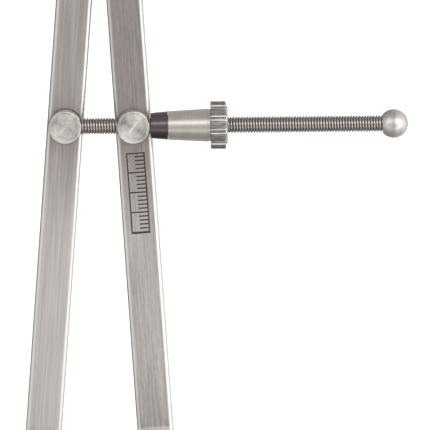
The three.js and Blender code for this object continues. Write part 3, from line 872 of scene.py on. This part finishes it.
# ------------------------------------------------------------------ parts kept from the frame

for node, material in {
    "left_leg": left_leg_steel, "right_leg": right_leg_steel,
    "left_stud": left_stud_steel, "right_stud": right_stud_steel,
    "left_stud_washer": left_screw_steel, "left_stud_screw": left_screw_steel,
    "right_stud_washer": right_screw_steel, "right_stud_screw": right_screw_steel,
    "fulcrum_roller": roller_steel, "grip_screw": bright_steel, "grip_washer": bright_steel,
    "ball_end": ball_steel, "spindle_lock_pin": core_steel, "thrust_bush": blackened_steel,
    "nut_cage": core_steel, "spring_seat_ring": core_steel, "nut_jaw_upper": bronze,
    "nut_jaw_lower": bronze, "release_sleeve": sleeve_steel,
}.items():
    set_material(nodes[node], material)
    soften(nodes[node], angle=35)

# ------------------------------------------------------------------ spindle

END_GAP = 0.02 * MM
rod = threaded_rod("spindle_thread", spindle_span("spindle")[0] + END_GAP,
                   spindle_span("ball_end")[0] - END_GAP,
                   crest=2.07 * MM, root=1.66 * MM, pitch=0.7 * MM)
smooth(rod, angle=50, weighted=False)
set_material(rod, thread_steel)
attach(rod, "spindle_assembly")
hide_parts("spindle")

# ------------------------------------------------------------------ grip

bow_lo, bow_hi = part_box("bow_spring")
bow_radius = bow_hi.x
bow_centre_z = bow_hi.z - bow_radius
grip = knurled_grip("knurled_grip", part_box("grip")[1].z, bow_centre_z, bow_radius + 0.12 * MM)
smooth(grip, angle=28)
set_material(grip, grip_steel)
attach(grip, "head")
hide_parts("grip")

# ------------------------------------------------------------------ bow spring

# one half of the bow on each side, from the seam under the grip to the end over its leg
STRIP_THICKNESS = 1.6 * MM
for side_name, side in (("left", -1), ("right", 1)):
    half = bow_half("bow_spring_" + side_name, side, bow_centre_z, outer=bow_radius,
                    inner=bow_radius - STRIP_THICKNESS, half_width=bow_hi.y)
    smooth(half, angle=35)
    set_material(half, spring_steel)
    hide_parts("bow_spring")
    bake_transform(half)

# ------------------------------------------------------------------ release spring

WIRE = 0.19 * MM
spring_start, spring_end = spindle_span("release_spring")
release_coil = coil("release_coil", spring_start + WIRE, spring_end - WIRE, radius=3.3 * MM,
                    wire=WIRE, turns=3.4)
smooth(release_coil, angle=40, weighted=False)
set_material(release_coil, core_steel)
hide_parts("release_spring")
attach(release_coil, "nut_core")
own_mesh(release_coil)

# ------------------------------------------------------------------ floor

floor_z = cad_lo.z - 0.0002
bpy.ops.mesh.primitive_plane_add(size=60, location=(0, 0, floor_z))
floor = bpy.context.object
floor.name = "studio_floor"
floor_paint, floor_tree = new_material("studio_floor")
mottle = floor_tree.noise(floor_tree.coords(), scale=3.0, detail=2.0, rough=0.5)
floor_tree.surface(floor_tree.paint("F6F6F5", "F9F9F8", amount=mottle.remap(over=MID_NOISE)),
                   rough=0.9, metallic=0.0, specular=0.0)
set_material(floor, floor_paint)
floor.visible_glossy = False
floor.visible_diffuse = False
floor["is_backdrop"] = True

# ------------------------------------------------------------------ room

# brightness against height in degrees (0 is level in front, 90 overhead, 180 level behind)
HEIGHT = [(-180, 0.62), (-142, 0.70), (-121, 0.63), (-107, 0.48), (-95, 0.40), (-73, 0.41),
          (-62, 0.41), (-50, 0.56), (-40, 1.02), (-30, 1.00), (-24, 0.66), (-14, 0.57),
          (-4, 0.61), (5, 0.66), (11, 0.86), (16, 1.35), (24, 1.45), (30, 1.78), (36, 1.08),
          (44, 0.60), (54, 0.47), (71, 0.51), (92, 0.50), (112, 0.60), (130, 0.70), (150, 0.66),
          (180, 0.62)]
# factor against direction in degrees (0 is in front, 90 to the right)
ROUND = [(-180, 0.90), (-165, 0.45), (-120, 0.40), (-100, 0.90), (-80, 1.40), (-55, 1.55),
         (-30, 1.45), (-18, 1.12), (-10, 0.98), (0, 1.0), (9, 1.08), (18, 1.75), (28, 2.4),
         (50, 2.7), (90, 2.4), (110, 1.8), (130, 1.4), (160, 1.3), (180, 0.90)]


def angle_ramp(tree, rise, back, stops, top):
    """Looks up the angle of (rise, -back) in stops of (degrees, value); top scales the ramp."""
    turn = (tree.math("ARCTAN2", rise, back * -1.0) + math.pi) / (2 * math.pi)
    node = tree.nodes.new("ShaderNodeValToRGB")
    tree.put(node.inputs[0], turn)
    node.color_ramp.interpolation = "LINEAR"
    elements = node.color_ramp.elements
    while len(elements) > 1:
        elements.remove(elements[-1])
    for i, (degrees, value) in enumerate(stops):
        at = (degrees + 180) / 360
        if i == 0:
            elements[0].position = at
        element = elements.new(at) if i else elements[0]
        element.color = (*[value / top] * 3, 1)
    return Value(tree, node.outputs[0]) * top


world = bpy.data.worlds.new("studio")
bpy.context.scene.world = world
world.use_nodes = True
room = Tree(world.node_tree)
x, y, z = room.split(room.coords("Generated"))
by_height = angle_ramp(room, z, y, HEIGHT, top=2.0)
# height is measured in the plane x = 0, so it fades to plain grey at the far left and right
far_side = abs(x).fade(over=(0.80, 0.97))
by_height = room.mix_values(by_height, 0.68, amount=far_side)
by_turn = angle_ramp(room, x, y, ROUND, top=3.0)
level = room.math("SQRT", 1.0 - z * z)
brightness = by_height * room.mix_values(1.0, by_turn, amount=level)
# the camera itself sees plain white
seen = room.make("ShaderNodeLightPath", output="Is Camera Ray")
room.finish("ShaderNodeOutputWorld", room.make("ShaderNodeBackground", {
    "Color": room.paint((1.0, 0.985, 0.97), (1.0, 1.0, 1.0), amount=seen),
    "Strength": room.mix_values(brightness, 1.0, amount=seen),
}))

# ------------------------------------------------------------------ lights


def aim(thing, at, look):
    """Places a light or a camera and turns it towards a point."""
    thing.location = at
    thing.rotation_euler = (look - at).to_track_quat("-Z", "Y").to_euler()


strip_data = bpy.data.lights.new("strip_front", "AREA")
strip_data.shape = "RECTANGLE"
strip_data.size, strip_data.size_y = 1.2, 0.16
strip_data.energy = 0.5
strip = add_object("strip_front", strip_data)
strip_target = fulcrum + Vector((0.03, 0.0, -0.07))
aim(strip, at=strip_target + Vector((0.0, -1.35, 0.57)), look=strip_target)
strip.visible_camera = False

# light for the floor alone
sun_data = bpy.data.lights.new("floor_light", "SUN")
sun_data.energy = 1.6
sun_data.angle = math.radians(25)
sun = add_object("floor_light", sun_data)
sun.rotation_euler = (math.radians(-12), math.radians(14), 0)
only_floor = bpy.data.collections.new("lit_by_floor_light")
only_floor.objects.link(floor)
sun.light_linking.receiver_collection = only_floor

# ------------------------------------------------------------------ camera

ELEVATION = math.radians(5.5)
DISTANCE = 3.0
SPAN = 0.1075                       # width of the view at the tool
SENSOR = 36.0                       # mm
camera_data = bpy.data.cameras.new("camera")
camera = add_object("camera", camera_data)
target = fulcrum + Vector((0.02890, -0.002, -0.07807))
backward = Vector((0, -math.cos(ELEVATION), math.sin(ELEVATION)))
aim(camera, at=target + backward * DISTANCE, look=target)
camera_data.sensor_width = SENSOR
camera_data.lens = SENSOR * DISTANCE / SPAN
camera_data.clip_start, camera_data.clip_end = 0.05, 60.0
bpy.context.scene.camera = camera
bpy.context.scene.view_settings.view_transform = "Standard"
bpy.context.scene.view_settings.look = "None"

lo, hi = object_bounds()
{"cad": [list(cad_lo), list(cad_hi)], "visual": [list(lo), list(hi)]}
